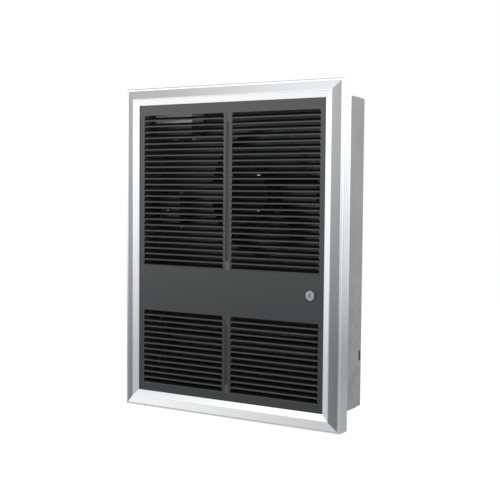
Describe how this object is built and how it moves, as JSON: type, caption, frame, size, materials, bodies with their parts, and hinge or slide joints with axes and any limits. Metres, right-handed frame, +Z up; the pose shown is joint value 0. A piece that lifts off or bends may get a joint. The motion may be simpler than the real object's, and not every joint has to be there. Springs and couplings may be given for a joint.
{
  "type": "recessed fan-forced wall heater",
  "caption": "Recessed electric wall heater: galvanised wall box with fan, motor and finned elements behind a dark louvred grille in a mitred aluminium frame, with a slotted thermostat spindle.",
  "frame": {"origin": "centre of the wall box's back face", "axes": "+Z up, front of the heater towards -Y, +Y out of the back into the wall, +X to the viewer's right"},
  "size_m": [0.403, 0.1269, 0.5314],
  "materials": {
    "galvanised": "bright galvanised sheet, faint spangle",
    "frame_aluminium": "bright clear anodised extrusion",
    "grille_paint": "satin charcoal powder coat",
    "zinc_screw": "zinc plated",
    "black_screw": "black oxide",
    "nickel": "dull nickel plate",
    "spindle_steel": "turned steel",
    "motor_paint": "black baked enamel",
    "lamination": "oiled electrical steel",
    "winding_copper": "varnished copper wire",
    "bearing_bronze": "oil-soaked sintered bronze",
    "shaft_steel": "ground steel",
    "fan_aluminium": "stamped, mill finish",
    "element_steel": "heat-darkened plated steel",
    "black_moulding": "black phenolic moulding",
    "pale_moulding": "cream moulded plastic",
    "ground_green": "green dyed screw",
    "switch_bright": "plated brass"
  },
  "bodies": {
    "heater": {"box_body": "galvanised", "box_top": "galvanised", "box_bottom": "galvanised", "frame_top": "frame_aluminium", "frame_right": "frame_aluminium", "frame_bottom": "frame_aluminium", "frame_left": "frame_aluminium", "corner_keys": "galvanised", "corner_screws": "zinc_screw", "grille_panel": "grille_paint", "top_brackets": "galvanised", "cover_hooks": "galvanised", "hook_screws": "zinc_screw", "bottom_bracket": "galvanised", "cover_screw": "black_screw", "fan_panel": "galvanised", "panel_brackets": "galvanised", "panel_screws": "zinc_screw", "motor_strap": "galvanised", "strap_screws": "zinc_screw", "motor_screws": "zinc_screw", "motor_rear_bell": "motor_paint", "motor_front_bell": "motor_paint", "motor_stator": "lamination", "motor_windings": "winding_copper", "motor_bearings": "bearing_bronze", "motor_bolts": "zinc_screw", "element_upper": "element_steel", "element_lower": "element_steel", "element_nuts": "zinc_screw", "element_support_left": "galvanised", "element_support_right": "galvanised", "support_screws": "zinc_screw", "thermostat_case": "black_moulding", "thermostat_bushing": "nickel", "thermostat_nut": "nickel", "thermostat_terminals": "switch_bright", "switch_bracket": "galvanised", "switch_screws": "zinc_screw", "switch_body": "black_moulding", "switch_nut": "nickel", "terminal_block": "pale_moulding", "terminal_screws": "zinc_screw", "ground_screw": "ground_green", "wiring_cover": "galvanised", "wiring_cover_screws": "zinc_screw", "limit_switch": "black_moulding", "fan_delay_switch": "black_moulding", "disc_screws": "zinc_screw"},
    "fan_rotor": {"motor_rotor": "lamination", "motor_shaft": "shaft_steel", "fan": "fan_aluminium", "fan_set_screw": "black_screw"},
    "thermostat_spindle": {"thermostat_spindle": "spindle_steel"},
    "switch_toggle": {"switch_toggle": "switch_bright"}
  },
  "joints": [
    {"name": "fan_spin", "type": "hinge", "parent": "heater", "child": "fan_rotor", "pos_m": [0.025, -0.042, 0.09494], "axis": [0, 1, 0], "continuous": true},
    {"name": "thermostat_turn", "type": "hinge", "parent": "heater", "child": "thermostat_spindle", "pos_m": [0.151, -0.12, -0.05903], "axis": [0, 1, 0], "range_deg": [-140, 140]},
    {"name": "disconnect_toggle", "type": "hinge", "parent": "heater", "child": "switch_toggle", "pos_m": [-0.14, -0.0872, 0.06494], "axis": [1, 0, 0], "range_deg": [0, 26]}
  ]
}
